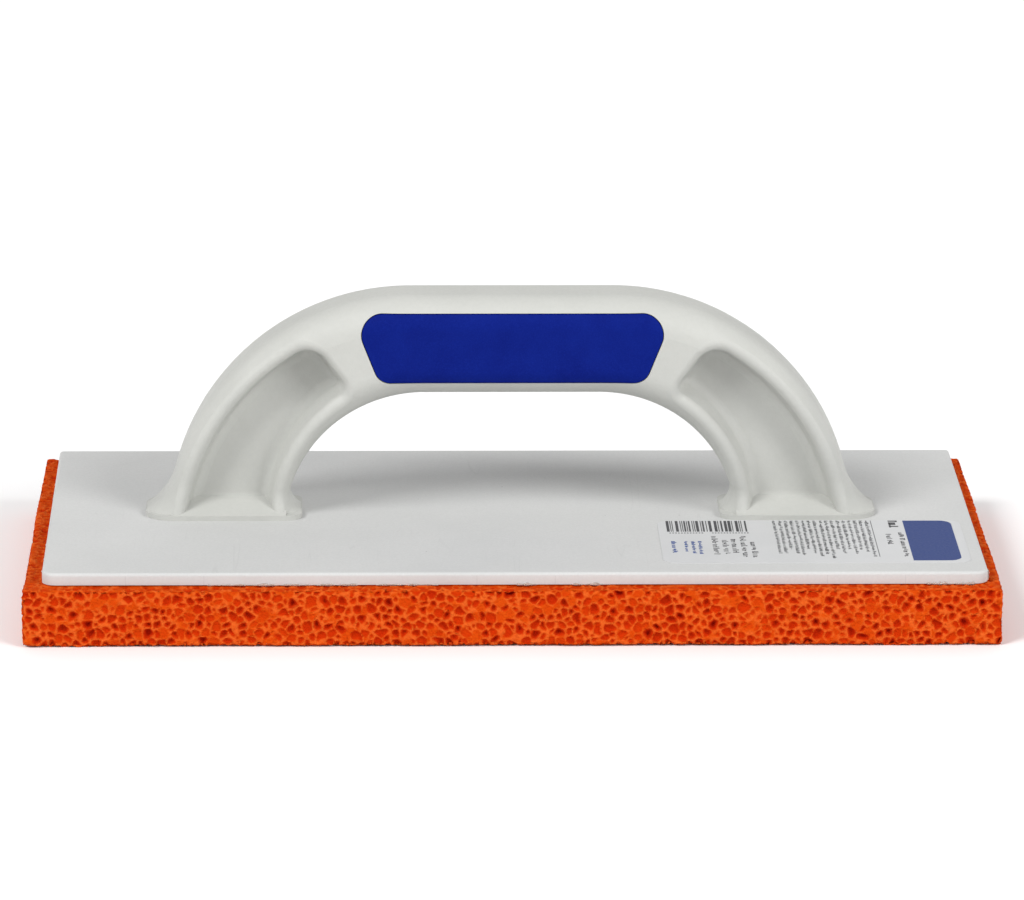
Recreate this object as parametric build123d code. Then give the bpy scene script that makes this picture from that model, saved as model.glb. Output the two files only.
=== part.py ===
from build123d import *

import math
import os

# A sponge grout float: a moulded arch handle screwed to a flat backing plate, with a thick open-cell
# sponge bonded under the plate. Millimetres. The origin is the centre of the sponge's working face,
# +X runs along the tool, +Y across it and +Z up to the grip.

# ---- Driving dimensions -------------------------------------------------------------------------
PAD_LENGTH = 280.0
PAD_WIDTH = 140.0
PAD_THICKNESS = 17.0
PAD_CORNER = 2.0

PLATE_LENGTH = 270.0
PLATE_WIDTH = 130.0
PLATE_THICKNESS = 3.5
PLATE_FRONT_CORNER = 4.0
PLATE_BACK_CORNER = 1.2
PLATE_EDGE = 0.9

GLUE_THICKNESS = 0.15
GLUE_INSET = 1.5

# Heights on the handle are above the plate's top face. Each arc is given by the X at which the flat
# stretch of the grip ends and by its radius.
GRIP_TOP = 66.5
GRIP_HEIGHT = 29.1
GRIP_DEPTH = 28.0
FOOT_DEPTH = 23.5
OUTER_ARC_X = 29.6
OUTER_ARC_RADIUS = 70.8
INNER_ARC_X = 25.4
INNER_ARC_RADIUS = 40.7
TOE_OUTER = 107.0
TOE_INNER = 61.3
TOE_HEIGHT = 1.4
TOE_OUTER_CORNER = 8.0
TOE_INNER_CORNER = 4.5
FOOT_LEDGE = 0.3  # how far the foot's base stands out from what is on it
OUTER_FLARE = 20.0
INNER_FLARE = 5.5
EDGE_ROUND = 9.0

# The pocket in each side of each leg, outlined just outside the side of the handle
POCKET_FACE = 15.0  # distance of that outline from the handle's middle plane
POCKET_OUTER = ((57.3, 54.8), (75.6, 42.0), (97.3, 0.4))
POCKET_INNER = ((46.0, 39.3), (57.3, 30.1), (68.2, 0.4))
POCKET_END_TOP = 8.0
POCKET_END_LOW = 4.0
POCKET_DRAFT = 15.0
POCKET_RIM = 2.3
POCKET_SILL = 2.0  # the rims are rounded above this height, and the sill below it stays crisp
POCKET_ROOT = 3.0
POCKET_FLOOR = 6.0  # the floor would rise from the sill to this height at the middle of the web
WEB_THICKNESS = 4.0

INSERT_TOP = 62.4
INSERT_BOTTOM = 42.0
INSERT_HALF_TOP = 46.5
INSERT_HALF_BOTTOM = 38.5
INSERT_ROUND_TOP = 6.0
INSERT_ROUND_BOTTOM = 5.0
INSERT_BACK = 9.0  # distance of the recess floor from the handle's middle plane
INSERT_SEAM = 0.25

SCREW_X = (-96.0, -68.0, 68.0, 96.0)
SCREW_SHANK = 3.5
SCREW_TIP = 2.0
SCREW_HEAD = 7.0
SCREW_HEAD_HEIGHT = 1.9
SCREW_IN_HANDLE = 12.0
SCREW_POINT = 1.6
SCREW_SLOT_LENGTH = 4.0
SCREW_SLOT_WIDTH = 0.8
SCREW_SLOT_DEPTH = 1.0

LABEL_X = (42.5, 131.0)
LABEL_Y = (-56.0, -12.6)
LABEL_THICKNESS = 0.12
LABEL_CORNER = 4.0

# ---- Levels worked out from them ----------------------------------------------------------------
PLATE_BOTTOM = PAD_THICKNESS + GLUE_THICKNESS
PLATE_TOP = PLATE_BOTTOM + PLATE_THICKNESS
GRIP_UNDER = GRIP_TOP - GRIP_HEIGHT
BELOW = -15.0  # the handle is shaped this far below the plate's top face, then cut off level
FAR = 200.0  # larger than any part, for the solids that only trim others
NEAR = 0.5  # two places closer than this are taken as one when edges and corners are picked


def circles_meet(centre_a, radius_a, centre_b, radius_b):
    """The higher of the two points where two circles in the XZ plane cross."""
    dx = centre_b[0] - centre_a[0]
    dz = centre_b[1] - centre_a[1]
    gap = math.hypot(dx, dz)
    along = (gap**2 + radius_a**2 - radius_b**2) / (2 * gap)
    aside = math.sqrt(radius_a**2 - along**2)
    x = centre_a[0] + along * dx / gap
    z = centre_a[1] + along * dz / gap
    return max(
        (x - aside * dz / gap, z + aside * dx / gap),
        (x + aside * dz / gap, z - aside * dx / gap),
        key=lambda point: point[1],
    )


def on_circle(centre, radius, towards):
    """The point of a circle that lies on the way from its centre to another point."""
    dx = towards[0] - centre[0]
    dz = towards[1] - centre[1]
    return (
        centre[0] + radius * dx / math.hypot(dx, dz),
        centre[1] + radius * dz / math.hypot(dx, dz),
    )


def tangent_down(centre, point, z):
    """Where the tangent of a circle at one of its points reaches the height z."""
    slope = (centre[1] - point[1]) / (point[0] - centre[0])
    return (point[0] + (z - point[1]) * slope, z)


def arch_outline():
    """The handle's outline in the XZ plane, carried on below the plate's top face."""
    outer_centre = (OUTER_ARC_X, GRIP_TOP - OUTER_ARC_RADIUS)
    inner_centre = (INNER_ARC_X, GRIP_UNDER - INNER_ARC_RADIUS)
    outer_toe = (TOE_OUTER, TOE_HEIGHT)
    inner_toe = (TOE_INNER, TOE_HEIGHT)
    outer_flare = circles_meet(outer_centre, OUTER_ARC_RADIUS + OUTER_FLARE, outer_toe, OUTER_FLARE)
    inner_flare = circles_meet(inner_centre, INNER_ARC_RADIUS - INNER_FLARE, inner_toe, INNER_FLARE)
    outer_join = on_circle(outer_centre, OUTER_ARC_RADIUS, outer_flare)
    inner_join = on_circle(inner_centre, INNER_ARC_RADIUS, inner_flare)
    outer_low = tangent_down(outer_flare, outer_toe, BELOW)
    inner_low = tangent_down(inner_flare, inner_toe, BELOW)
    leg = [
        RadiusArc((OUTER_ARC_X, GRIP_TOP), outer_join, OUTER_ARC_RADIUS),
        RadiusArc(outer_join, outer_toe, -OUTER_FLARE),
        Line(outer_toe, outer_low),
        Line(outer_low, inner_low),
        Line(inner_low, inner_toe),
        RadiusArc(inner_toe, inner_join, -INNER_FLARE),
        RadiusArc(inner_join, (INNER_ARC_X, GRIP_UNDER), -INNER_ARC_RADIUS),
    ]
    grip = [
        Line((-OUTER_ARC_X, GRIP_TOP), (OUTER_ARC_X, GRIP_TOP)),
        Line((INNER_ARC_X, GRIP_UNDER), (-INNER_ARC_X, GRIP_UNDER)),
    ]
    return leg + [mirror(edge, about=Plane.YZ) for edge in leg] + grip


def side_outline():
    """The handle seen from its end: it narrows from the grip down to the feet along one long arc."""
    top = GRIP_TOP + EDGE_ROUND
    sagitta = (GRIP_DEPTH - FOOT_DEPTH) / 2
    radius = (GRIP_TOP**2 + sagitta**2) / (2 * sagitta)

    def half(z):
        return GRIP_DEPTH / 2 - radius + math.sqrt(radius**2 - (GRIP_TOP - z) ** 2)

    side = ThreePointArc((half(BELOW), BELOW), (half(0), 0), (half(top), top))
    return [
        side,
        Line((half(top), top), (-half(top), top)),
        mirror(side, about=Plane.YZ),
        Line((-half(BELOW), BELOW), (half(BELOW), BELOW)),
    ]


def block(x, y, z):
    """A box between two values on each axis."""
    return Pos(sum(x) / 2, sum(y) / 2, sum(z) / 2) * Box(x[1] - x[0], y[1] - y[0], z[1] - z[0])


def handle_blank():
    """The arch with its rounded edges and flared feet, before the pockets, recesses and holes."""
    arch = extrude(Plane.XZ * make_face(arch_outline()), amount=FAR, both=True)
    blank = arch & extrude(Plane.YZ * make_face(side_outline()), amount=FAR, both=True)
    edges = [
        edge
        for edge in blank.edges()
        if abs(edge.center().Y) > WEB_THICKNESS and edge.bounding_box().max.Z > BELOW + NEAR
    ]
    return trimmed(fillet(edges, EDGE_ROUND), 0)


def trimmed(handle, ledge):
    """The handle cut off level at the plate's top face, and upright at or inside the tips of its toes."""
    toe_top = TOE_HEIGHT + INNER_FLARE
    keep = block((-FAR, FAR), (-FAR, FAR), (toe_top, FAR))
    outer_toe = TOE_OUTER - ledge
    inner_toe = TOE_INNER + ledge
    for toes in ((-outer_toe, -inner_toe), (inner_toe, outer_toe)):
        keep += block(toes, (-FAR, FAR), (0, toe_top))
    return handle & keep


def foot_base():
    """The low base of the right foot, as wide as the foot and with rounded corners."""
    y = FOOT_DEPTH / 2
    base = block((TOE_INNER, TOE_OUTER), (-y, y), (0, TOE_HEIGHT))
    inner_corners, *_, outer_corners = base.edges().filter_by(Axis.Z).group_by(Axis.X)
    base = fillet(inner_corners, TOE_INNER_CORNER)
    outer_corners = base.edges().filter_by(Axis.Z).group_by(Axis.X)[-1]
    return fillet(outer_corners, TOE_OUTER_CORNER)


def pocket_floors():
    """The floors of the right leg's two pockets, which slope up from the sills to the web."""
    sill = FOOT_DEPTH / 2 - FOOT_LEDGE
    low = TOE_HEIGHT / 2
    roof = Polyline(
        (-sill, low),
        (-sill, TOE_HEIGHT),
        (0, POCKET_FLOOR),
        (sill, TOE_HEIGHT),
        (sill, low),
        close=True,
    )
    start = POCKET_INNER[-1][0] - POCKET_RIM
    end = POCKET_OUTER[-1][0] + POCKET_RIM
    return extrude(Plane.YZ.offset(start) * make_face(roof), amount=end - start)


def pocket():
    """The drafted tool that cuts the pocket in the front of the right leg."""
    outer_end = POCKET_OUTER[0]
    inner_end = POCKET_INNER[0]
    outline = make_face(
        [
            ThreePointArc(*POCKET_OUTER),
            Line(POCKET_OUTER[-1], POCKET_INNER[-1]),
            ThreePointArc(*POCKET_INNER),
            Line(inner_end, outer_end),
        ]
    )
    for end, radius in ((outer_end, POCKET_END_TOP), (inner_end, POCKET_END_LOW)):
        corner = outline.vertices().sort_by_distance((*end, 0))[0]
        outline = fillet(corner, radius)
    face = Plane.XZ.offset(POCKET_FACE) * outline
    tool = extrude(face, amount=WEB_THICKNESS / 2 - POCKET_FACE, taper=POCKET_DRAFT)
    root = tool.edges().group_by(Axis.Y)[-1]
    return fillet(root, POCKET_ROOT)


def on_all_legs(shape):
    """A shape made for the front of the right leg, with its copies for the back and the left."""
    right = [shape, mirror(shape, about=Plane.XZ)]
    return right + [mirror(copy, about=Plane.YZ) for copy in right]


def rim_edges(solid, blank):
    """The edges of the pockets' rims, apart from the low sill where each pocket runs out at the foot."""
    old = [edge.center() for edge in blank.edges()]
    return [
        edge
        for edge in solid.edges()
        if min(abs(edge.bounding_box().min.Y), abs(edge.bounding_box().max.Y)) > INSERT_BACK
        and edge.bounding_box().max.Z > POCKET_SILL
        and min((edge.center() - point).length for point in old) > NEAR
    ]


def insert_prism(seam):
    """The prism of a front grip insert, or with a seam, of the wider recess that it sits in."""
    outline = make_face(
        Polyline(
            (-INSERT_HALF_TOP, INSERT_TOP),
            (INSERT_HALF_TOP, INSERT_TOP),
            (INSERT_HALF_BOTTOM, INSERT_BOTTOM),
            (-INSERT_HALF_BOTTOM, INSERT_BOTTOM),
            close=True,
        )
    )
    for z, radius in ((INSERT_TOP, INSERT_ROUND_TOP), (INSERT_BOTTOM, INSERT_ROUND_BOTTOM)):
        corners = [corner for corner in outline.vertices() if abs(corner.Y - z) < NEAR]
        outline = fillet(corners, radius)
    outline = offset(outline, amount=seam)
    return extrude(Plane.XZ.offset(INSERT_BACK) * outline, amount=GRIP_DEPTH)


def screw_places():
    """The foot of each screw's axis, on the plate's bottom face."""
    return [Pos(x, 0, PLATE_BOTTOM) for x in SCREW_X]


def screw():
    """A countersunk screw standing head down, with its head's face at z = 0."""
    length = PLATE_THICKNESS + SCREW_IN_HANDLE
    low = Align.CENTER, Align.CENTER, Align.MIN
    body = Cone(SCREW_HEAD / 2, SCREW_SHANK / 2, SCREW_HEAD_HEIGHT, align=low)
    body += Cylinder(SCREW_SHANK / 2, length, align=low)
    body = chamfer(body.edges().sort_by(Axis.Z)[-1], (SCREW_SHANK - SCREW_TIP) / 2, SCREW_POINT)
    for angle in (0, 90):
        body -= Rot(0, 0, angle) * Box(SCREW_SLOT_LENGTH, SCREW_SLOT_WIDTH, SCREW_SLOT_DEPTH, align=low)
    return body


def screw_hole():
    """What a screw takes out of the plate and the handle."""
    low = Align.CENTER, Align.CENTER, Align.MIN
    hole = Cone(SCREW_HEAD / 2, SCREW_SHANK / 2, SCREW_HEAD_HEIGHT, align=low)
    return hole + Cylinder(SCREW_SHANK / 2, PLATE_THICKNESS + SCREW_IN_HANDLE, align=low)


def holed(solid):
    """A solid with the screws' holes cut out of it."""
    for place in screw_places():
        solid -= place * screw_hole()
    return solid


def sponge_pad():
    """The sponge's plain outer block."""
    pad = block((-PAD_LENGTH / 2, PAD_LENGTH / 2), (-PAD_WIDTH / 2, PAD_WIDTH / 2), (0, PAD_THICKNESS))
    return fillet(pad.edges().filter_by(Axis.Z), PAD_CORNER)


def rounded_slab(x, y, z):
    """A slab with these half sizes along X and Y, with the plate's corners, between two heights."""
    slab = block((-x, x), (-y, y), z)
    slab = fillet(slab.edges().filter_by(Axis.Z).group_by(Axis.Y)[0], PLATE_FRONT_CORNER)
    return fillet(slab.edges().filter_by(Axis.Z).group_by(Axis.Y)[-1], PLATE_BACK_CORNER)


def adhesive_layer():
    """The film of glue between the sponge and the plate."""
    x = PLATE_LENGTH / 2 - GLUE_INSET
    y = PLATE_WIDTH / 2 - GLUE_INSET
    return rounded_slab(x, y, (PAD_THICKNESS, PLATE_BOTTOM))


def backing_plate():
    """The flat plate, with a softened top edge and the countersunk holes for the handle's screws."""
    plate = rounded_slab(PLATE_LENGTH / 2, PLATE_WIDTH / 2, (PLATE_BOTTOM, PLATE_TOP))
    plate = fillet(plate.edges().group_by(Axis.Z)[-1], PLATE_EDGE)
    return holed(plate)


def handle_and_inserts():
    """The handle with its pockets, recesses and screw holes, and the two inserts that fill the recesses."""
    blank = handle_blank()
    body = blank
    for tool in on_all_legs(pocket()):
        body -= tool
    body = fillet(rim_edges(body, blank), POCKET_RIM)
    foot = foot_base() + pocket_floors()
    body = trimmed(body, FOOT_LEDGE) + foot + mirror(foot, about=Plane.YZ)
    front = blank & insert_prism(0)
    rear = mirror(front, about=Plane.XZ)
    recess = insert_prism(INSERT_SEAM)
    body -= recess
    body -= mirror(recess, about=Plane.XZ)
    up = Pos(0, 0, PLATE_TOP)
    return holed(up * body), up * front, up * rear


def product_label():
    """The printed film on the front right of the plate."""
    label = block(LABEL_X, LABEL_Y, (PLATE_TOP, PLATE_TOP + LABEL_THICKNESS))
    return fillet(label.edges().filter_by(Axis.Z), LABEL_CORNER)


handle_body, grip_insert_front, grip_insert_rear = handle_and_inserts()
NODES = {
    "sponge_pad": sponge_pad(),
    "adhesive_layer": adhesive_layer(),
    "backing_plate": backing_plate(),
    "handle_body": handle_body,
    "grip_insert_front": grip_insert_front,
    "grip_insert_rear": grip_insert_rear,
    "handle_screws": Compound(children=[place * screw() for place in screw_places()]),
    "product_label": product_label(),
}

os.makedirs("parts", exist_ok=True)
for name, shape in NODES.items():
    export_step(shape, f"parts/{name}.step")
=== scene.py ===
import math

import bpy
import numpy as np
from mathutils import Matrix, Vector


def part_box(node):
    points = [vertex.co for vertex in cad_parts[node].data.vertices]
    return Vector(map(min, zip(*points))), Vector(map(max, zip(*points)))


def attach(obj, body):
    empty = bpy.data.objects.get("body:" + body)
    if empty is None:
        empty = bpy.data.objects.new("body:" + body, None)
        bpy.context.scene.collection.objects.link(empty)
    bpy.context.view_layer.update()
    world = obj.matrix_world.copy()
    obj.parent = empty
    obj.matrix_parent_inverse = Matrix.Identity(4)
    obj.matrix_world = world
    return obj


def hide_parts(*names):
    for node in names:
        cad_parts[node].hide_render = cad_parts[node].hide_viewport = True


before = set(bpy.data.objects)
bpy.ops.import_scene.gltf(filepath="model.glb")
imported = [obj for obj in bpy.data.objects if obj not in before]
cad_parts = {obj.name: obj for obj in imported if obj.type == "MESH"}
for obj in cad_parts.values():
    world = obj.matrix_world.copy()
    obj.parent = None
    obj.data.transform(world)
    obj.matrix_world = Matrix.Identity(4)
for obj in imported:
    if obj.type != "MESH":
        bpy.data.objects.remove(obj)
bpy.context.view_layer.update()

# A sponge grout float: porous sponge, plate, arch handle, two soft grip inserts, a printed label and
# the glue that squeezed out between plate and sponge. Shapes are worked out in millimetres.
MM = 0.001


def box_mm(node):
    """A CAD node's lowest and highest corners, in millimetres."""
    low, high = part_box(node)
    return np.array(low) / MM, np.array(high) / MM


PAD_LOW, PAD_HIGH = box_mm("sponge_pad")
PLATE_LOW, PLATE_HIGH = box_mm("backing_plate")
LABEL_HIGH = box_mm("product_label")[1]


# ---- Materials ----------------------------------------------------------------------------------
class Shader:
    """A Principled material and short calls that add nodes to it. Lengths are in millimetres."""

    def __init__(self, name, roughness, **sockets):
        self.material = bpy.data.materials.new(name)
        self.material.use_nodes = True
        self.tree = self.material.node_tree
        self.surface = self.tree.nodes["Principled BSDF"]
        self.surface.inputs["Roughness"].default_value = roughness
        for socket, value in sockets.items():
            self.surface.inputs[socket.replace("_", " ")].default_value = value
        self.place = self.add("ShaderNodeTexCoord").outputs["Object"]

    def add(self, kind, settings=(), **links):
        node = self.tree.nodes.new(kind)
        for key, value in dict(settings).items():
            setattr(node, key, value)
        for socket, value in links.items():
            self.feed(node.inputs[socket.replace("_", " ")], value)
        return node

    def feed(self, socket, value):
        if isinstance(value, bpy.types.NodeSocket):
            self.tree.links.new(value, socket)
        else:
            socket.default_value = value

    def noise(self, size, detail=2.0, roughness=0.5, place=None):
        """Cloudy noise whose blotches are about this many millimetres across."""
        node = self.add("ShaderNodeTexNoise", Vector=place or self.place)
        node.inputs["Scale"].default_value = 1 / (size * MM)
        node.inputs["Detail"].default_value = detail
        node.inputs["Roughness"].default_value = roughness
        return node.outputs["Fac"]

    def cells(self, size, feature="F1"):
        """Distances in a pattern of cells about this many millimetres across."""
        node = self.add("ShaderNodeTexVoronoi", {"feature": feature}, Vector=self.place)
        node.inputs["Scale"].default_value = 1 / (size * MM)
        return node.outputs["Distance"]

    def stretched(self, factors, turn=0.0):
        """The object's coordinates, turned about Z and scaled, for streaks and hairlines."""
        node = self.add("ShaderNodeMapping", Vector=self.place)
        node.inputs["Rotation"].default_value = (0, 0, math.radians(turn))
        node.inputs["Scale"].default_value = factors
        return node.outputs["Vector"]

    def coordinate(self, axis):
        return self.add("ShaderNodeSeparateXYZ", Vector=self.place).outputs[axis]

    def math(self, operation, *values):
        node = self.tree.nodes.new("ShaderNodeMath")
        node.operation = operation
        for socket, value in zip(node.inputs, values):
            self.feed(socket, value)
        return node.outputs[0]

    def span(self, value, low, high, start=0.0, end=1.0):
        """A value moved from one range to another and kept inside it."""
        node = self.add("ShaderNodeMapRange")
        for socket, number in zip(node.inputs, (value, low, high, start, end)):
            self.feed(socket, number)
        return node.outputs[0]

    def mix(self, factor, one, other):
        node = self.add("ShaderNodeMix", {"data_type": "RGBA"})
        self.feed(node.inputs[0], factor)
        for socket, value in ((node.inputs[6], one), (node.inputs[7], other)):
            self.feed(socket, value if isinstance(value, bpy.types.NodeSocket) else (*value, 1.0))
        return node.outputs[2]

    def bump(self, height, depth, strength=1.0, under=None):
        """Small relief, this many millimetres deep, laid over another one if that is given."""
        node = self.add("ShaderNodeBump", Height=height)
        node.inputs["Distance"].default_value = depth * MM
        node.inputs["Strength"].default_value = strength
        if under is not None:
            self.feed(node.inputs["Normal"], under)
        return node.outputs["Normal"]

    def finish(self, **links):
        for socket, value in links.items():
            self.feed(self.surface.inputs[socket.replace("_", " ")], value)
        return self.material


def handle_plastic():
    """Off-white moulded plastic: a fine spark-eroded grain, faint flow clouds and light handling marks."""
    shader = Shader("handle_plastic", roughness=0.5, Specular_IOR_Level=0.28)
    clouds = shader.noise(22, detail=3)
    grain = shader.noise(0.55, detail=2, roughness=0.6)
    speckle = shader.noise(1.3, detail=3, roughness=0.7)
    tone = shader.mix(shader.span(clouds, 0.3, 0.7), (0.493, 0.498, 0.472), (0.527, 0.530, 0.503))
    tone = shader.mix(shader.span(speckle, 0.35, 0.65, 0.0, 0.10), tone, (0.38, 0.39, 0.36))
    grime = shader.noise(60, detail=4, roughness=0.65)
    tone = shader.mix(shader.span(grime, 0.52, 0.78, 0.0, 0.10), tone, (0.38, 0.37, 0.335))
    relief = shader.bump(shader.noise(6, detail=2), depth=0.12)
    relief = shader.bump(grain, depth=0.035, under=relief)
    gloss = shader.span(speckle, 0.3, 0.7, 0.46, 0.62)
    return shader.finish(Base_Color=tone, Roughness=gloss, Normal=relief)


HAIRLINES = ((14, 5.0), (-38, 7.0), (63, 9.0))  # the turn and the spacing of each set of hairlines
HAIR_STRETCH = 0.03  # how much slower a hairline's noise changes along it than across it
HAIR_WIDTH = 0.004
HAIR_AREA = 28  # hairlines come in patches about this large
# ejector blades left pairs of fine lines on the plate's edge: their spacing, half a pair's width,
# half a line's width, and how far under the top face they start
BLADE_SPACING, BLADE_HALF, BLADE_LINE, BLADE_BELOW_TOP = 100, 11.15, 0.10, 0.8


def plate_plastic():
    """Pale grey sheet plastic: fine grain, hairline scratches, specks, and mould marks on its edge."""
    shader = Shader("plate_plastic", roughness=0.6, Specular_IOR_Level=0.2)
    clouds = shader.noise(35, detail=3)
    grain = shader.noise(0.6, detail=2, roughness=0.65)
    tone = shader.mix(shader.span(clouds, 0.3, 0.7), (0.562, 0.566, 0.560), (0.598, 0.600, 0.592))
    tone = shader.mix(shader.span(grain, 0.3, 0.7, 0.0, 0.24), tone, (0.46, 0.46, 0.455))
    specks = shader.span(shader.cells(14), 0.012, 0.020, 0.55, 0.0)
    tone = shader.mix(specks, tone, (0.12, 0.11, 0.10))
    hairs = None
    for turn, size in HAIRLINES:
        streak = shader.noise(size, detail=1, place=shader.stretched((1, HAIR_STRETCH, 1), turn))
        from_middle = shader.math("ABSOLUTE", shader.math("SUBTRACT", streak, 0.5))
        streak = shader.span(from_middle, 0.0, HAIR_WIDTH, 1, 0)
        areas = shader.noise(HAIR_AREA, detail=1, place=shader.stretched((1, 1, 1), turn))
        streak = shader.math("MULTIPLY", streak, shader.span(areas, 0.60, 0.68))
        hairs = streak if hairs is None else shader.math("MAXIMUM", hairs, streak)
    tone = shader.mix(shader.math("MULTIPLY", hairs, 0.16), tone, (0.36, 0.36, 0.36))
    from_blade = shader.math("PINGPONG", shader.coordinate("X"), BLADE_SPACING / 2 * MM)
    line = shader.math("COMPARE", from_blade, BLADE_HALF * MM, BLADE_LINE * MM)
    on_edge = shader.math("LESS_THAN", shader.coordinate("Z"), (PLATE_HIGH[2] - BLADE_BELOW_TOP) * MM)
    line = shader.math("MULTIPLY", shader.math("MULTIPLY", line, on_edge), 0.22)
    tone = shader.mix(line, tone, (0.30, 0.30, 0.30))
    relief = shader.bump(grain, depth=0.03)
    relief = shader.bump(hairs, depth=-0.008, under=relief)
    gloss = shader.span(grain, 0.3, 0.7, 0.52, 0.68)
    return shader.finish(Base_Color=tone, Roughness=gloss, Normal=relief)


def grip_rubber():
    """Deep blue soft rubber with a fine matt grain."""
    shader = Shader("grip_rubber", roughness=0.55, Specular_IOR_Level=0.06)
    grain = shader.noise(0.45, detail=3, roughness=0.7)
    clouds = shader.noise(9, detail=3)
    tone = shader.mix(shader.span(clouds, 0.3, 0.7), (0.0010, 0.0080, 0.152), (0.0018, 0.0112, 0.180))
    tone = shader.mix(shader.span(grain, 0.45, 0.75, 0.0, 0.35), tone, (0.008, 0.025, 0.270))
    relief = shader.bump(grain, depth=0.06)
    gloss = shader.span(grain, 0.3, 0.7, 0.45, 0.68)
    return shader.finish(Base_Color=tone, Roughness=gloss, Normal=relief)


def sponge_foam():
    """Orange cellular sponge: painted highlights on the pores' rims, painted shade that makes the pores
    deeper red and darker the deeper they are, and pores too small to model, with painted shade in their
    middles.
    """
    shader = Shader("sponge_foam", roughness=0.85, Specular_IOR_Level=0.04)
    depth = shader.add("ShaderNodeAttribute", {"attribute_name": "pore_depth"}).outputs["Fac"]
    rim_highlight = shader.add("ShaderNodeAttribute", {"attribute_name": "pore_rim_highlight"}).outputs["Fac"]
    patches = shader.noise(7, detail=3)
    fine = shader.cells(0.75)
    skin = shader.mix(shader.span(patches, 0.3, 0.7), (0.552, 0.050, 0.0012), (0.612, 0.069, 0.0030))
    floor = shader.mix(shader.span(patches, 0.3, 0.7), (0.480, 0.021, 0.0003), (0.530, 0.030, 0.0006))
    # painted shade: the deeper a place lies in a pore, the deeper red and then the darker it is painted
    tone = shader.mix(shader.span(depth, 0.10, 0.55), skin, floor)
    tone = shader.mix(shader.span(depth, 0.6, 1.6), tone, (0.31, 0.0055, 0.0001))
    # painted shade in pores too small to model: darker towards each small cell's middle, where the bump
    # sinks
    tone = shader.mix(shader.span(fine, 0.18, 0.42, 0.20, 0.0), tone, (0.50, 0.026, 0.001))
    # painted highlight: a paler band along the pores' rims, where their edges catch the light
    tone = shader.mix(shader.span(rim_highlight, 0.35, 1.0, 0.0, 0.60), tone, (0.76, 0.146, 0.024))
    relief = shader.bump(fine, depth=0.25)
    relief = shader.bump(shader.noise(0.4, detail=3, roughness=0.7), depth=0.12, under=relief)
    return shader.finish(Base_Color=tone, Normal=relief)


def clear_glue():
    """Glue that squeezed out and set: milky clear, with tiny bubbles."""
    shader = Shader("clear_glue", roughness=0.25, IOR=1.48, Transmission_Weight=0.7)
    clouds = shader.noise(1.2, detail=3)
    tone = shader.mix(shader.span(clouds, 0.3, 0.7), (0.80, 0.62, 0.52), (0.92, 0.84, 0.79))
    relief = shader.bump(shader.cells(0.5), depth=0.05)
    return shader.finish(Base_Color=tone, Roughness=shader.span(clouds, 0.3, 0.7, 0.15, 0.40), Normal=relief)


def label_film():
    """White printed film with a satin face that follows the plate's grain."""
    shader = Shader("label_film", roughness=0.5, Specular_IOR_Level=0.25)
    clouds = shader.noise(15, detail=3)
    grain = shader.noise(0.6, detail=2, roughness=0.65)
    tone = shader.mix(shader.span(clouds, 0.3, 0.7), (0.578, 0.583, 0.588), (0.612, 0.615, 0.618))
    tone = shader.mix(shader.span(grain, 0.3, 0.7, 0.0, 0.08), tone, (0.45, 0.45, 0.46))
    gloss = shader.span(clouds, 0.3, 0.7, 0.46, 0.58)
    return shader.finish(Base_Color=tone, Roughness=gloss, Normal=shader.bump(grain, depth=0.02))


def ink(name, colour, worn):
    """Printing ink of one colour, slightly uneven, worn through to a paler tone in specks."""
    shader = Shader(name, roughness=0.5, Specular_IOR_Level=0.2)
    patches = shader.noise(0.8, detail=3, roughness=0.7)
    tone = shader.mix(shader.span(patches, 0.45, 0.75, 0.0, 0.5), colour, worn)
    gloss = shader.span(patches, 0.3, 0.7, 0.38, 0.52)
    return shader.finish(Base_Color=tone, Roughness=gloss, Normal=shader.bump(patches, depth=0.01))


def zinc_steel():
    """Zinc-plated steel with fine turning marks and a dull bloom."""
    shader = Shader("zinc_steel", roughness=0.35, Metallic=1.0)
    bloom = shader.noise(1.5, detail=4, roughness=0.6)
    tone = shader.mix(shader.span(bloom, 0.3, 0.7), (0.60, 0.60, 0.57), (0.74, 0.74, 0.73))
    marks = shader.noise(0.25, detail=2, place=shader.stretched((0.2, 0.2, 3)))
    gloss = shader.span(bloom, 0.3, 0.7, 0.25, 0.45)
    return shader.finish(Base_Color=tone, Roughness=gloss, Normal=shader.bump(marks, depth=0.02))


def studio_floor():
    """The plain pale floor."""
    shader = Shader("studio_floor", roughness=0.9, Specular_IOR_Level=0.0)
    patches = shader.noise(400, detail=2)
    tone = shader.mix(shader.span(patches, 0.3, 0.7), (0.94, 0.94, 0.94), (0.95, 0.95, 0.95))
    return shader.finish(Base_Color=tone)


# ---- Mesh helpers -------------------------------------------------------------------------------
def new_object(name, points, faces, materials, slots=None, smooth=True):
    """A mesh object from points in millimetres."""
    mesh = bpy.data.meshes.new(name)
    mesh.from_pydata((np.asarray(points) * MM).tolist(), [], faces)
    for material in materials:
        mesh.materials.append(material)
    if slots is not None:
        mesh.polygons.foreach_set("material_index", slots)
    mesh.polygons.foreach_set("use_smooth", [smooth] * len(mesh.polygons))
    mesh.update()
    piece = bpy.data.objects.new(name, mesh)
    bpy.context.scene.collection.objects.link(piece)
    return piece


def ripples(rng, count, shortest, longest):
    """A smooth random field over the plane, mostly between -1 and 1."""
    angles = rng.uniform(0, math.tau, count)
    lengths = rng.uniform(shortest, longest, count)
    phases = rng.uniform(0, math.tau, count)

    def field(u, v):
        total = np.zeros(np.broadcast(u, v).shape)
        for angle, length, phase in zip(angles, lengths, phases):
            total += np.sin(math.tau * (u * math.cos(angle) + v * math.sin(angle)) / length + phase)
        return total / math.sqrt(count)

    return field


def smooth_step(value, low, high):
    t = np.clip((value - low) / (high - low), 0, 1)
    return t * t * (3 - 2 * t)


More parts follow.
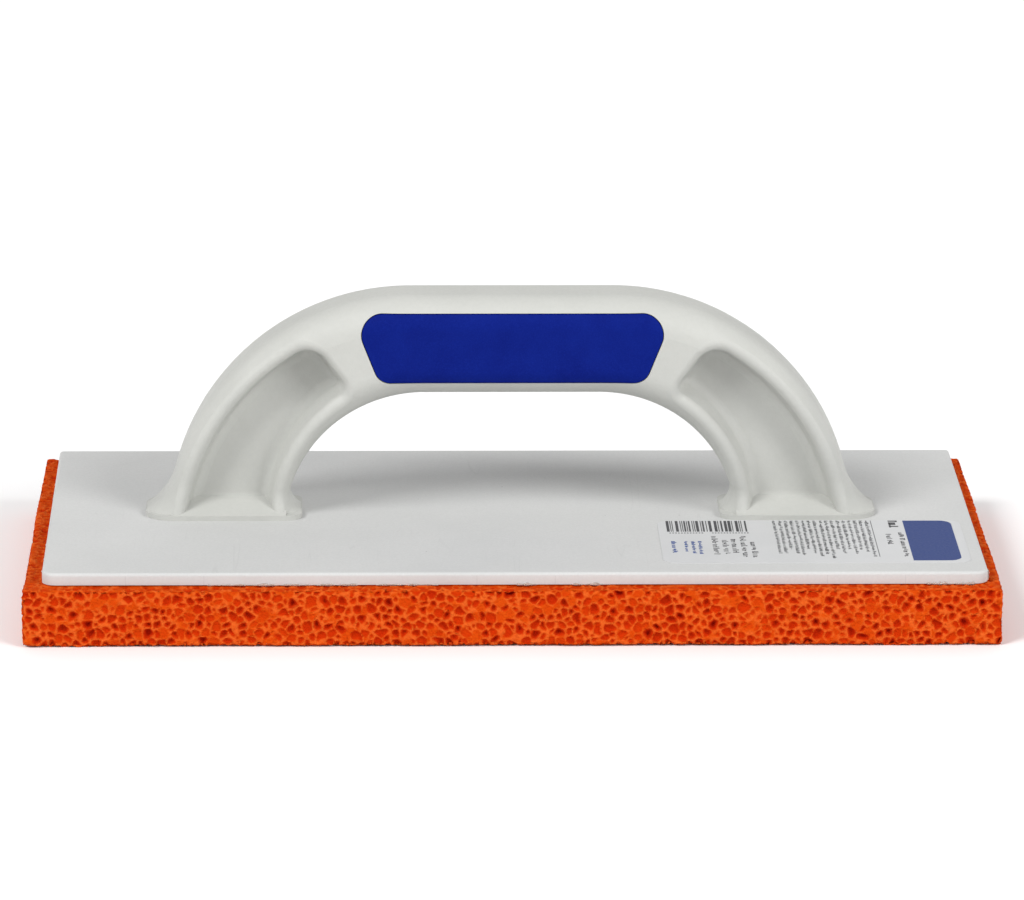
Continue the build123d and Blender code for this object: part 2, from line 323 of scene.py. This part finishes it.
# ---- The sponge ---------------------------------------------------------------------------------
PAD_SEED = 11
RIPPLES = 9  # waves in each random field that shapes the pores
PAD_STEP = (0.40, 0.70, 0.36)  # spacing of the sponge's mesh along X, Y and Z
PAD_TRIANGLES = 198000  # the most that the thinned mesh may have
PAD_EDGE_ROUND = 1.4
PAD_EDGE_NOTCH = 0.7  # how deep pores may bite into an edge
PAD_SKIN = 0.60  # how deep the pores are along the plate, against elsewhere
PAD_WAVE, PAD_WAVES, PAD_WAVE_LENGTHS = 0.20, 8, (25.0, 90.0)  # how the cut faces wander
# the sponge was cut a little out of square: its half length and the middle of it, front and back
PAD_HALF_FRONT, PAD_HALF_BACK = 139.9, 139.4
PAD_MIDDLE_FRONT, PAD_MIDDLE_BACK = -0.8, -0.3
BOND_INSET = 1.0  # the bonded area starts this far inside the plate's edge
COARSE_CELL, FINE_CELL = 2.45, 1.10
CELL_GROWTH = 0.42  # how much larger the largest pores are, against the spacing of the pores
CELL_REACH = 0.50  # how far the smallest pores reach from their middles, against that spacing
CELL_CORNER = 0.078  # how round a pore's corners are where it meets others
CELL_WALL = 0.30  # how wide a pore's sloping side wall is
CELL_STEEP = 1.7  # how deep a pore may be against the distance from its border
CELL_RIM_HIGHLIGHT = 0.20  # how wide the painted highlights on the pores' rims are
PORE_WARP, PORE_WARP_LENGTHS = 0.25, (2.2, 6.0)  # how far and over what lengths the borders wander
# how much the walls between pores are thickened: on the whole, how much that varies and over what
# lengths, and the least and the most of it
WALL_MEAN, WALL_VARIES, WALL_LENGTHS = -0.02, 0.05, (4.0, 11.0)
WALL_LEAST, WALL_MOST = -0.06, 0.14
# each pore has a random rank from 0 to 1, which sets how deep it is
COARSE_RANKS, COARSE_DEPTHS = (0, 0.12, 0.45, 0.80, 0.94, 1.0), (0.15, 0.45, 0.85, 1.25, 2.0, 3.2)
FINE_RANKS, FINE_DEPTHS = (0, 0.35, 0.8, 1.0), (0.0, 0.15, 0.5, 0.9)
FINE_WALL = 0.02, 0.25  # where a fine pore's side wall starts and ends, inside its border
FLAT_INSET = 4.0  # further inside the plate's edge than this, the hidden top face is one flat face
TOP_FADE = 0.2, 1.1  # the side faces' pores get deeper between these distances below the sponge's top
CELL_MARGIN = 4  # rows of pores laid out past each edge of a face
CELL_JITTER = 0.05, 0.95  # where in its square of the pattern a pore's middle may be
CELL_SIZES = 1.2, 1.4  # the shape of the spread of the pores' sizes
FINE_BETWEEN = -0.30, 0.05  # fine pores fade out between these distances into a coarse one
RIM_HIGHLIGHT_DEPTHS = 0.1, 0.7  # pores get a painted highlight on their rim as their depth grows between these


def foam_cells(u, v, size, rng):
    """How far inside a pore's border each place of a face is, and the pore's random rank."""
    columns = int(np.ptp(u) / size) + 2 * CELL_MARGIN + 1
    rows = int(np.ptp(v) / size) + 2 * CELL_MARGIN + 1
    shape = (columns, rows)
    first_u = np.floor(u.min() / size) - CELL_MARGIN
    first_v = np.floor(v.min() / size) - CELL_MARGIN
    seed_u = (first_u + np.arange(columns)[:, None] + rng.uniform(*CELL_JITTER, shape)) * size
    seed_v = (first_v + np.arange(rows)[None, :] + rng.uniform(*CELL_JITTER, shape)) * size
    growth = CELL_GROWTH * size * rng.beta(*CELL_SIZES, shape)
    rank = rng.uniform(0, 1, shape)
    column = np.floor(u / size - first_u).astype(int)
    row = np.floor(v / size - first_v).astype(int)
    nearest = np.full(u.shape, np.inf)
    own = np.zeros(u.shape)
    crowd = np.zeros(u.shape)
    softness = CELL_CORNER * size
    for right in range(-2, 3):
        for up in range(-2, 3):
            i = np.clip(column + right, 0, columns - 1)
            j = np.clip(row + up, 0, rows - 1)
            distance = np.hypot(u - seed_u[i, j], v - seed_v[i, j]) - growth[i, j]
            closer = distance < nearest
            own = np.where(closer, rank[i, j], own)
            nearest = np.where(closer, distance, nearest)
            crowd += np.exp(-distance / (2 * softness))
    # a soft minimum over all neighbours rounds the corners off
    others = np.maximum(crowd * np.exp(nearest / (2 * softness)) - 1, 1e-12)
    return np.minimum(-softness * np.log(others), CELL_REACH * size - nearest), own


def pore_relief(u, v, rng):
    """How deep the pores are at each place of a cut face, and where the pores' rims get a painted highlight.
    """
    warp_u = ripples(rng, RIPPLES, *PORE_WARP_LENGTHS)
    warp_v = ripples(rng, RIPPLES, *PORE_WARP_LENGTHS)
    shifted_u = u + PORE_WARP * warp_u(u, v)
    shifted_v = v + PORE_WARP * warp_v(u, v)
    thickening = WALL_VARIES * ripples(rng, RIPPLES, *WALL_LENGTHS)(u, v) + WALL_MEAN
    room, rank = foam_cells(shifted_u, shifted_v, COARSE_CELL, rng)
    room -= np.clip(thickening, WALL_LEAST, WALL_MOST)
    depth = np.interp(rank, COARSE_RANKS, COARSE_DEPTHS)
    coarse = np.minimum(depth * smooth_step(room, 0, CELL_WALL), CELL_STEEP * np.maximum(room, 0))
    small_room, small_rank = foam_cells(shifted_u, shifted_v, FINE_CELL, rng)
    small_depth = np.interp(small_rank, FINE_RANKS, FINE_DEPTHS)
    fine = np.minimum(small_depth * smooth_step(small_room, *FINE_WALL), np.maximum(small_room, 0))
    closed = 1 - smooth_step(room, *FINE_BETWEEN)
    # where a pore's rim gets its painted highlight: a band along the pore's border, for deeper pores only
    rim_highlight = np.exp(-((room / CELL_RIM_HIGHLIGHT) ** 2)) * smooth_step(depth, *RIM_HIGHLIGHT_DEPTHS)
    return coarse + fine * closed, rim_highlight


def sponge_lattice():
    """Lattice lines of the sponge's block, along X, Y and Z."""
    return [
        np.linspace(low, high, round((high - low) / step) + 1)
        for low, high, step in zip(PAD_LOW, PAD_HIGH, PAD_STEP)
    ]


def edge_room(u, v):
    """Distance of each place of a face from the face's nearest edge."""
    across = np.minimum(u - u.min(), u.max() - u)
    along = np.minimum(v - v.min(), v.max() - v)
    return np.minimum(across, along)


def sponge_surface():
    """Points and faces of the sponge's outer surface, with the pores' depths, which also set their painted
    shade, and where their rims get a painted highlight.
    """
    lines = sponge_lattice()
    counts = [len(line) for line in lines]
    outside = np.ones(counts, dtype=bool)
    outside[1:-1, 1:-1, 1:-1] = False
    # the middle of the top face, under the plate, is one flat face
    inner_x = np.abs(lines[0]) < PLATE_HIGH[0] - FLAT_INSET
    inner_y = np.abs(lines[1]) < PLATE_HIGH[1] - FLAT_INSET
    hidden = inner_x[:, None] & inner_y[None, :]
    hidden_core = hidden.copy()
    hidden_core[1:-1, 1:-1] = (
        hidden[1:-1, 1:-1] & hidden[:-2, 1:-1] & hidden[2:, 1:-1] & hidden[1:-1, :-2] & hidden[1:-1, 2:]
    )
    outside[:, :, -1] &= ~hidden_core
    number = np.full(counts, -1)
    number[outside] = np.arange(outside.sum())
    where = np.argwhere(outside)
    flat = np.stack([lines[axis][where[:, axis]] for axis in range(3)], axis=1)

    rng = np.random.default_rng(PAD_SEED)
    inward = np.zeros_like(flat)
    deepest = np.zeros(len(flat))
    rim_highlights = np.zeros(len(flat))
    faces = []
    for axis in range(3):
        u_axis, v_axis = [other for other in range(3) if other != axis]
        u, v = np.meshgrid(lines[u_axis], lines[v_axis], indexing="ij")
        for end, sign in ((0, 1), (-1, -1)):
            ids = np.take(number, end, axis=axis)
            relief, rim_highlight = pore_relief(u, v, rng)
            relief = np.minimum(relief, edge_room(u, v) + PAD_EDGE_NOTCH)
            wave = PAD_WAVE * np.clip(1 + ripples(rng, PAD_WAVES, *PAD_WAVE_LENGTHS)(u, v), 0, 2)
            if axis < 2:
                relief *= PAD_SKIN + (1 - PAD_SKIN) * smooth_step(PAD_HIGH[2] - v, *TOP_FADE)
            elif sign < 0:
                from_plate = np.maximum(np.abs(u) - PLATE_HIGH[0], np.abs(v) - PLATE_HIGH[1])
                bare = smooth_step(from_plate, -BOND_INSET, 0.3)
                relief *= bare * PAD_SKIN
                wave *= bare
            shown = ids >= 0
            inward[ids[shown], axis] += sign * (relief + wave)[shown]
            # the deepest relief at each point sets its painted shade, and the rim mask sets its painted
            # highlight
            deepest[ids[shown]] = np.maximum(deepest[ids[shown]], relief[shown])
            rim_highlights[ids[shown]] = np.maximum(rim_highlights[ids[shown]], rim_highlight[shown])
            quads = np.stack([ids[:-1, :-1], ids[1:, :-1], ids[1:, 1:], ids[:-1, 1:]], axis=-1)
            quads = quads.reshape(-1, 4)
            if (sign > 0) != (axis == 1):
                quads = quads[:, ::-1]
            faces += quads[(quads >= 0).all(axis=1)].tolist()
    faces.append(hidden_loop(number[:, :, -1], hidden, hidden_core))
    return soften_edges(flat) + inward, faces, {"pore_depth": deepest, "pore_rim_highlight": rim_highlights}


def hidden_loop(ids, hidden, core):
    """The lattice points round the hidden middle of the top face, in order."""
    ring = np.argwhere(hidden & ~core)
    low_i, low_j = ring.min(axis=0)
    high_i, high_j = ring.max(axis=0)
    loop = [ids[i, low_j] for i in range(low_i, high_i)]
    loop += [ids[high_i, j] for j in range(low_j, high_j)]
    loop += [ids[i, high_j] for i in range(high_i, low_i, -1)]
    loop += [ids[low_i, j] for j in range(high_j, low_j, -1)]
    return [int(i) for i in loop]


def soften_edges(points):
    """Points of the block's surface moved in where its edges are rounded."""
    low = PAD_LOW + PAD_EDGE_ROUND
    high = PAD_HIGH - PAD_EDGE_ROUND
    core = np.clip(points, low, high)
    out = points - core
    length = np.linalg.norm(out, axis=1, keepdims=True)
    return core + out / np.maximum(length, 1e-9) * PAD_EDGE_ROUND


def out_of_square(points):
    """The block's points with its ends a little out of square."""
    back = (points[:, 1] - PAD_LOW[1]) / (PAD_HIGH[1] - PAD_LOW[1])
    half = PAD_HALF_FRONT + (PAD_HALF_BACK - PAD_HALF_FRONT) * back
    middle = PAD_MIDDLE_FRONT + (PAD_MIDDLE_BACK - PAD_MIDDLE_FRONT) * back
    points[:, 0] = middle + points[:, 0] * half / PAD_HIGH[0]
    return points


def make_sponge(material):
    """The porous sponge, thinned to a mesh of moderate size."""
    points, faces, fields = sponge_surface()
    block = new_object("sponge", out_of_square(points), faces, [material])
    for name, values in fields.items():
        block.data.attributes.new(name, "FLOAT", "POINT").data.foreach_set("value", values)
    triangles = sum(len(face) - 2 for face in faces)
    thin = block.modifiers.new("thin", "DECIMATE")
    thin.ratio = min(1.0, PAD_TRIANGLES / triangles)
    graph = bpy.context.evaluated_depsgraph_get()
    mesh = bpy.data.meshes.new_from_object(block.evaluated_get(graph), depsgraph=graph)
    block.modifiers.clear()
    block.data = mesh
    for vertex in mesh.vertices:
        vertex.co.z = max(vertex.co.z, PAD_LOW[2] * MM)
    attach(block, "root")
    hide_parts("sponge_pad")
    return block


# ---- Glue that squeezed out ---------------------------------------------------------------------
GLUE_SEED = 5
GLUE_SIDES = 10
GLUE_STEP = 0.35  # spacing of a bead's rings
GLUE_SWELL, GLUE_SWELL_LENGTHS = 0.75, (1.5, 8.0)  # how lumpy a bead is
GLUE_THINNEST, GLUE_THICKEST = 0.15, 2.2
GLUE_TIP = 0.03  # a bead's radius at its very ends, against its radius elsewhere
GLUE_DRIFT, GLUE_DRIFT_LENGTHS = 0.25, (2.0, 9.0)  # how far a bead wanders in and out
GLUE_RIPPLES = 7
GLUE_OUT, GLUE_UP = 0.35, 0.45  # how far out and up a bead's middle lies, against its radius
GLUE_SINK = 0.1
# stretches of the joint where glue came out: side, start and end along it, and the bead's radius
GLUE_RUNS = (
    ("front", -88, -45, 0.22),
    ("front", -40, -22, 0.18),
    ("front", 0, 6, 0.30),
    ("front", 16, 27, 0.25),
    ("front", 117, 131, 0.50),
    ("back", -120, -70, 0.25),
    ("back", -8, 30, 0.20),
    ("back", 88, 112, 0.35),
    ("left", -52, -20, 0.25),
    ("left", 18, 41, 0.30),
    ("right", -61, -48, 0.45),
    ("right", -10, 35, 0.22),
)


def glue_bead(side, start, end, radius, rng):
    """One lumpy bead that lies in the corner of the plate's edge and the sponge."""
    stations = max(12, round((end - start) / GLUE_STEP))
    along = np.linspace(start, end, stations)
    swell = 1 + GLUE_SWELL * ripples(rng, GLUE_RIPPLES, *GLUE_SWELL_LENGTHS)(along, 0 * along)
    swell = np.clip(swell, GLUE_THINNEST, GLUE_THICKEST)
    ends = np.sqrt(np.clip(np.minimum(along - start, end - along) / (2 * radius), 0.0, 1.0))
    radii = radius * np.maximum(swell * ends, GLUE_TIP)
    drift = GLUE_DRIFT * radius * ripples(rng, GLUE_RIPPLES, *GLUE_DRIFT_LENGTHS)(along, 3 + 0 * along)
    turns = np.arange(GLUE_SIDES) * math.tau / GLUE_SIDES
    reach = PLATE_HIGH[1] if side in ("front", "back") else PLATE_HIGH[0]
    out = reach + drift[:, None] + radii[:, None] * (GLUE_OUT + np.cos(turns))
    up = PLATE_LOW[2] - GLUE_SINK + radii[:, None] * (GLUE_UP + np.sin(turns))
    along = np.broadcast_to(along[:, None], out.shape)
    sign = -1 if side in ("front", "left") else 1
    if side in ("front", "back"):
        points = np.stack([along, sign * out, up], axis=-1)
    else:
        points = np.stack([sign * out, along, up], axis=-1)
    ring = np.arange(stations * GLUE_SIDES).reshape(stations, GLUE_SIDES)
    beside = np.roll(ring, -1, axis=1)
    quads = np.stack([ring[:-1], ring[1:], beside[1:], beside[:-1]], axis=-1).reshape(-1, 4)
    faces = quads.tolist() + [ring[0].tolist(), ring[-1][::-1].tolist()]
    if side in ("front", "right"):
        return points.reshape(-1, 3), faces
    return points.reshape(-1, 3), [face[::-1] for face in faces]


def make_glue(material):
    rng = np.random.default_rng(GLUE_SEED)
    points = []
    faces = []
    for run in GLUE_RUNS:
        bead_points, bead_faces = glue_bead(*run, rng)
        first = sum(len(part) for part in points)
        points.append(bead_points)
        faces += [[first + i for i in face] for face in bead_faces]
    glue = new_object("glue_squeeze_out", np.concatenate(points), faces, [material])
    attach(glue, "root")
    return glue


# ---- The label's print --------------------------------------------------------------------------
PRINT_SEED = 3
PRINT_HEIGHT = 0.03
PRINT_SINK = 0.02
DARK, BLUE, NAVY, GREY = range(4)
PRINT_TOP_Y = LABEL_HIGH[1] - 0.5
BAR_CODE = (45.0, 68.8, -24.1, PRINT_TOP_Y)  # its lowest and highest X and Y
BAR_WIDTHS = (0.25, 0.25, 0.5, 0.8)
BAR_GAPS = (0.3, 0.3, 0.55, 0.8)
TICK_ROWS = ((45.6, 55.0), (58.0, 68.2))  # the small marks under the bar code
TICK_WIDTH, TICK_STEP = 0.45, 0.85
TICK_LOW, TICK_HIGH = -25.9, -25.2
# lines of strokes run across the float: each has its X, its lowest and highest Y, and its size
BLUE_LINES = (
    (46.4, -46.5, -34.0, 1.5),
    (49.9, -45.5, -34.0, 1.0),
    (52.0, -47.0, -34.0, 1.1),
    (53.9, -47.5, -34.0, 1.1),
)
DARK_LINES = (
    (58.4, -49, -29, 1.8),
    (61.3, -48, -33, 1.8),
    (63.9, -47, -32, 1.8),
    (66.6, -50, -29, 1.8),
    (69.4, -51, -35, 1.8),
)
SMALL_LINES, SMALL_FIRST, SMALL_STEP, SMALL_SIZE = 17, 76.7, 1.69, 1.05
SMALL_ENDS = (-52, -42)  # the small lines end at a random Y between these
RULE = (104.9, 105.1, -50.0, PRINT_TOP_Y)
# beside the block of colour: X, lowest and highest Y, size and weight
TITLE_LINES = (
    (109.2, -38.5, -27.0, 1.6, 0.5),
    (111.4, -22.0, PRINT_TOP_Y, 2.7, 0.7),
    (112.9, -50.0, -25.5, 1.5, 0.5),
)
BLOCK = (114.4, 128.4, -53.9, PRINT_TOP_Y)
BLOCK_RADIUS = 3.6
ARC_STEPS = 8


class Print:
    """Flat printed marks on the label, each a thin slab of ink."""

    def __init__(self):
        self.points = []
        self.faces = []
        self.inks = []
        self.rng = np.random.default_rng(PRINT_SEED)

    def slab(self, outline, colour):
        """A mark with the given outline, anticlockwise."""
        first = len(self.points)
        count = len(outline)
        top = LABEL_HIGH[2] + PRINT_HEIGHT
        low = LABEL_HIGH[2] - PRINT_SINK
        self.points += [(x, y, low) for x, y in outline] + [(x, y, top) for x, y in outline]
        self.faces.append([first + i for i in reversed(range(count))])
        self.faces.append([first + count + i for i in range(count)])
        for i in range(count):
            j = (i + 1) % count
            self.faces.append([first + i, first + j, first + count + j, first + count + i])
        self.inks += [colour] * (count + 2)

    def bar(self, x0, x1, y0, y1, colour):
        self.slab([(x0, y0), (x1, y0), (x1, y1), (x0, y1)], colour)

    def strokes(self, x, y0, y1, size, colour, weight=0.5):
        """A line of short strokes that runs across the float, grouped as words are but not letters."""
        serif = size * 0.22
        y = y1
        word = self.rng.integers(2, 9)
        while y - size * 0.6 > y0:
            width = size * self.rng.uniform(0.25, 0.55)
            left = x - size / 2 + size * self.rng.choice((0.0, 0.0, 0.25))
            right = x + size / 2 - size * self.rng.choice((0.0, 0.25, 0.35))
            self.bar(left, right, y - width * weight * 1.6, y, colour)
            if self.rng.random() < 0.4:
                edge = self.rng.choice((left, right - serif))
                self.bar(edge, edge + serif, y - size * 0.55, y - width * weight, colour)
            y -= size * 0.68
            word -= 1
            if word == 0:
                y -= size * 0.5
                word = self.rng.integers(2, 9)

    def bar_code(self, x0, x1, y0, y1):
        x = x0
        while x < x1:
            width = self.rng.choice(BAR_WIDTHS)
            self.bar(x, min(x + width, x1), y0, y1, DARK)
            x += width + self.rng.choice(BAR_GAPS)

    def ticks(self, x0, x1):
        x = x0
        while x < x1:
            self.bar(x, x + TICK_WIDTH, TICK_LOW, TICK_HIGH, GREY)
            x += TICK_STEP

    def block(self, x0, x1, y0, y1, radius, colour):
        """A block of ink whose two right-hand corners are rounded."""
        outline = [(x0, y0)]
        for centre_y, start in ((y0 + radius, -90), (y1 - radius, 0)):
            for step in range(ARC_STEPS + 1):
                angle = math.radians(start + 90 * step / ARC_STEPS)
                outline.append((x1 - radius + radius * math.cos(angle), centre_y + radius * math.sin(angle)))
        outline.append((x0, y1))
        self.slab(outline, colour)


def make_print(inks):
    """A generic label: bars, lines of strokes and a plain block of colour, with no lettering."""
    marks = Print()
    marks.bar_code(*BAR_CODE)
    for row in TICK_ROWS:
        marks.ticks(*row)
    for line in BLUE_LINES:
        marks.strokes(*line, BLUE, weight=0.75)
    for line in DARK_LINES:
        marks.strokes(*line, DARK, weight=0.40)
    for number in range(SMALL_LINES):
        x = SMALL_FIRST + SMALL_STEP * number
        marks.strokes(x, marks.rng.uniform(*SMALL_ENDS), PRINT_TOP_Y, SMALL_SIZE, DARK, weight=0.55)
    marks.bar(*RULE, GREY)
    for *line, weight in TITLE_LINES:
        marks.strokes(*line, DARK, weight)
    marks.block(*BLOCK, BLOCK_RADIUS, NAVY)
    label_print = new_object("label_print", marks.points, marks.faces, inks, marks.inks, smooth=False)
    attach(label_print, "root")
    return label_print


# ---- The model ----------------------------------------------------------------------------------
def dress(node, material):
    """A CAD node that is shown as it is, with its own material."""
    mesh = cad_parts[node].data
    mesh.materials.clear()
    mesh.materials.append(material)


blue_rubber = grip_rubber()
dress("handle_body", handle_plastic())
dress("backing_plate", plate_plastic())
dress("grip_insert_front", blue_rubber)
dress("grip_insert_rear", blue_rubber)
dress("product_label", label_film())
dress("handle_screws", zinc_steel())
glue_material = clear_glue()
dress("adhesive_layer", glue_material)
make_sponge(sponge_foam())
make_glue(glue_material)
make_print(
    [
        ink("ink_dark", (0.035, 0.035, 0.040), (0.17, 0.17, 0.18)),
        ink("ink_blue", (0.045, 0.085, 0.26), (0.20, 0.25, 0.42)),
        ink("ink_navy", (0.018, 0.044, 0.182), (0.026, 0.054, 0.205)),
        ink("ink_grey", (0.075, 0.075, 0.080), (0.25, 0.25, 0.26)),
    ]
)


# ---- Floor, light and camera --------------------------------------------------------------------
FLOOR_HALF = 10000.0


def make_floor():
    """A wide floor that the sponge rests on."""
    signs = ((-1, -1), (1, -1), (1, 1), (-1, 1))
    corners = [(x * FLOOR_HALF, y * FLOOR_HALF, 0) for x, y in signs]
    floor = new_object("floor", corners, [[0, 1, 2, 3]], [studio_floor()], smooth=False)


WORLD_LOW, WORLD_HIGH = 1.0, 0.46  # brightness at the horizon and overhead
WORLD_LOW_END, WORLD_HIGH_START = 0.04, 0.10  # the sines of the heights between which it changes


def make_world():
    """Plain white surroundings, a little brighter near the horizon than overhead."""
    world = bpy.data.worlds.new("studio")
    bpy.context.scene.world = world
    world.use_nodes = True
    tree = world.node_tree
    direction = tree.nodes.new("ShaderNodeTexCoord").outputs["Generated"]
    split = tree.nodes.new("ShaderNodeSeparateXYZ")
    fade = tree.nodes.new("ShaderNodeMapRange")
    background = tree.nodes["Background"]
    background.inputs["Color"].default_value = (1, 1, 1, 1)
    change = (WORLD_LOW_END, WORLD_HIGH_START, WORLD_LOW, WORLD_HIGH)
    for socket, value in zip(fade.inputs[1:], change):
        socket.default_value = value
    tree.links.new(direction, split.inputs[0])
    tree.links.new(split.outputs["Z"], fade.inputs[0])
    tree.links.new(fade.outputs[0], background.inputs["Strength"])


def make_lamp(name, azimuth, elevation, strength, spread=24):
    """A large, far soft lamp: azimuth 0 is in front of the float and 90 to the right of it."""
    lamp = bpy.data.lights.new(name, "SUN")
    lamp.energy = strength
    lamp.angle = math.radians(spread)
    holder = bpy.data.objects.new(name, lamp)
    bpy.context.scene.collection.objects.link(holder)
    level = math.cos(math.radians(elevation))
    across = math.radians(azimuth)
    source = Vector((level * math.sin(across), -level * math.cos(across), math.sin(math.radians(elevation))))
    holder.rotation_euler = (-source).to_track_quat("-Z", "Y").to_euler()


CAMERA_PLACE = Vector((-0.0496, -1.8552, 0.5573))
CAMERA_YAW, CAMERA_PITCH, CAMERA_ROLL = 1.543, 15.61, 0.323  # degrees
CAMERA_LENS = 230.8
CAMERA_SENSOR = 36.0


def make_camera():
    """The camera, a little left of the float's middle and looking slightly down on it."""
    camera = bpy.data.cameras.new("camera")
    camera.sensor_width = CAMERA_SENSOR
    camera.lens = CAMERA_LENS
    holder = bpy.data.objects.new("camera", camera)
    bpy.context.scene.collection.objects.link(holder)
    turn = Matrix.Rotation(math.radians(-CAMERA_YAW), 4, "Z")
    tilt = Matrix.Rotation(math.radians(90 - CAMERA_PITCH), 4, "X")
    roll = Matrix.Rotation(math.radians(CAMERA_ROLL), 4, "Z")
    holder.matrix_world = Matrix.Translation(CAMERA_PLACE) @ turn @ tilt @ roll
    bpy.context.scene.camera = holder


make_floor()
make_world()
make_lamp("left_lamp", -50, 40, 1.92)
make_lamp("right_lamp", 50, 30, 1.58)
make_lamp("back_lamp", 180, 45, 0.25, spread=60)
make_camera()
bpy.context.scene.view_settings.view_transform = "Standard"
